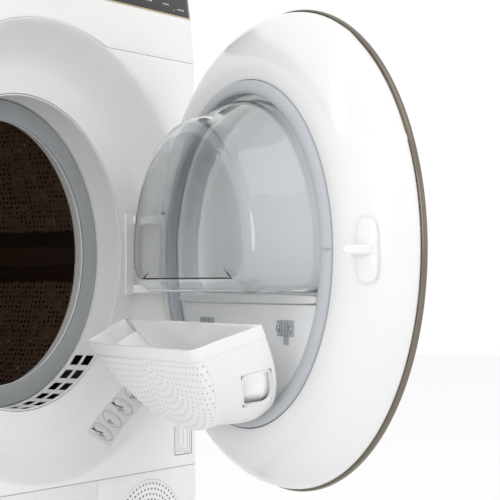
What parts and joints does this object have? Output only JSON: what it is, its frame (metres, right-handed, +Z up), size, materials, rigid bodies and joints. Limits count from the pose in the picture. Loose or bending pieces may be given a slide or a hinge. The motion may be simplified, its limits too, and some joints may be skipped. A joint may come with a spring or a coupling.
{
  "type": "front loading tumble dryer",
  "caption": "Front-loading tumble dryer with an open round door, clear bowl, swing-out fluff filter, rotating drum, tank drawer and heat-pump base.",
  "frame": {"origin": "centre of the underside of the base tray, 14 mm above the floor, on the cabinet's middle plane", "axes": "+Z up; +X to the machine's right seen from the front; +Y into the machine, from the door to the back panel"},
  "size_m": [0.596, 1.0841, 0.85],
  "materials": {
    "white_plastic": "satin moulded white",
    "white_steel": "white powder coat",
    "black_gloss": "polished black",
    "chrome": "warm satin chrome",
    "clear": "clear moulded",
    "seal_grey": "soft matt",
    "felt": "pressed felt",
    "drum_steel": "embossed stainless, warm reflections",
    "zinc": "galvanised",
    "dark_plastic": "matt",
    "aluminium": "mill",
    "rubber_black": "matt",
    "board_green": "satin"
  },
  "bodies": {
    "cabinet": {"base_tray": "dark_plastic", "foot_front_left": "rubber_black", "foot_front_right": "rubber_black", "foot_rear_left": "rubber_black", "foot_rear_right": "rubber_black", "left_side_panel": "white_steel", "right_side_panel": "white_steel", "back_panel": "zinc", "power_inlet": "dark_plastic", "top_panel": "white_plastic", "front_panel": "white_steel", "plinth_panel": "white_plastic", "plinth_grille": "white_plastic", "upper_fascia": "white_plastic", "trim_strip": "chrome", "control_panel": "black_gloss", "display_window": "black_gloss", "control_board": "board_green", "front_bulkhead": "zinc", "door_catch": "white_plastic", "filter_duct": "dark_plastic", "rear_bulkhead": "zinc", "rear_bearing": "zinc", "rear_air_cover": "zinc", "throat_ring": "white_plastic", "felt_ring": "felt", "motor": "aluminium", "drive_belt": "rubber_black", "fan_housing": "dark_plastic", "evaporator": "aluminium", "condenser": "aluminium", "compressor": "dark_plastic", "condensate_pump": "white_plastic", "hinge_bracket": "zinc", "hinge_pin": "zinc"},
    "drum": {"drum": "drum_steel", "drum_lifter_1": "white_plastic", "drum_lifter_2": "white_plastic", "drum_lifter_3": "white_plastic", "drum_shaft": "zinc"},
    "motor_rotor": {"motor_pulley": "zinc", "fan_wheel": "dark_plastic"},
    "tension_pulley": {"tension_pulley": "dark_plastic"},
    "roller_left": {"roller_left": "rubber_black"},
    "roller_right": {"roller_right": "rubber_black"},
    "door": {"hinge_leaf": "zinc", "door_outer_panel": "white_plastic", "door_rim": "chrome", "door_inner_shell": "white_plastic", "door_seal": "seal_grey", "door_bowl": "clear", "filter_housing": "white_plastic", "latch_hook": "white_plastic"},
    "filter": {"filter_frame": "white_plastic", "filter_mesh": "white_plastic"},
    "knob": {"program_knob": "chrome"},
    "button_power": {"button_power": "chrome"},
    "button_start": {"button_start": "chrome"},
    "tank_drawer": {"tank_drawer": "black_gloss"},
    "service_door": {"service_door": "white_plastic"}
  },
  "joints": [
    {"name": "door_hinge", "type": "hinge", "parent": "cabinet", "child": "door", "pos_m": [0.2424, -0.3217, 0.407], "axis": [0, 0, 1], "range_deg": [-61.83, 28.17]},
    {"name": "filter_swing", "type": "hinge", "parent": "door", "child": "filter", "pos_m": [0.09226, -0.51627, 0.2366], "axis": [0.4721, 0.8816, 0], "range_deg": [-15.6, 33.6]},
    {"name": "drum_spin", "type": "hinge", "parent": "cabinet", "child": "drum", "pos_m": [0, 0.03, 0.407], "axis": [0, 1, 0], "continuous": true},
    {"name": "motor_spin", "type": "hinge", "parent": "cabinet", "child": "motor_rotor", "pos_m": [0.2, -0.05, 0.081], "axis": [0, 1, 0], "continuous": true},
    {"name": "tension_spin", "type": "hinge", "parent": "cabinet", "child": "tension_pulley", "pos_m": [0.06541, -0.165, 0.08083], "axis": [0, 1, 0], "continuous": true},
    {"name": "roller_left_spin", "type": "hinge", "parent": "cabinet", "child": "roller_left", "pos_m": [-0.1587, -0.182, 0.13212], "axis": [0, 1, 0], "continuous": true},
    {"name": "roller_right_spin", "type": "hinge", "parent": "cabinet", "child": "roller_right", "pos_m": [0.1587, -0.182, 0.13212], "axis": [0, 1, 0], "continuous": true},
    {"name": "knob_turn", "type": "hinge", "parent": "cabinet", "child": "knob", "pos_m": [0, -0.28776, 0.763], "axis": [0, 0.9917, -0.1289], "continuous": true},
    {"name": "power_press", "type": "slide", "parent": "cabinet", "child": "button_power", "axis": [0, 0.9917, -0.1289], "range_m": [0, 0.0022], "stiffness_N_per_m": 800},
    {"name": "start_press", "type": "slide", "parent": "cabinet", "child": "button_start", "axis": [0, 0.9917, -0.1289], "range_m": [0, 0.0022], "stiffness_N_per_m": 800},
    {"name": "tank_slide", "type": "slide", "parent": "cabinet", "child": "tank_drawer", "axis": [0, -1, 0], "range_m": [0, 0.4]},
    {"name": "service_door_hinge", "type": "hinge", "parent": "cabinet", "child": "service_door", "pos_m": [-0.1, -0.288, 0.012], "axis": [1, 0, 0], "range_deg": [0, 90]}
  ],
  "couplings": [
    {"joint": "filter_swing", "follows": "door_hinge", "ratio": -0.5418},
    {"joint": "motor_spin", "follows": "drum_spin", "ratio": 24.91},
    {"joint": "tension_spin", "follows": "drum_spin", "ratio": -20.64},
    {"joint": "roller_left_spin", "follows": "drum_spin", "ratio": -9.57},
    {"joint": "roller_right_spin", "follows": "drum_spin", "ratio": -9.57}
  ]
}
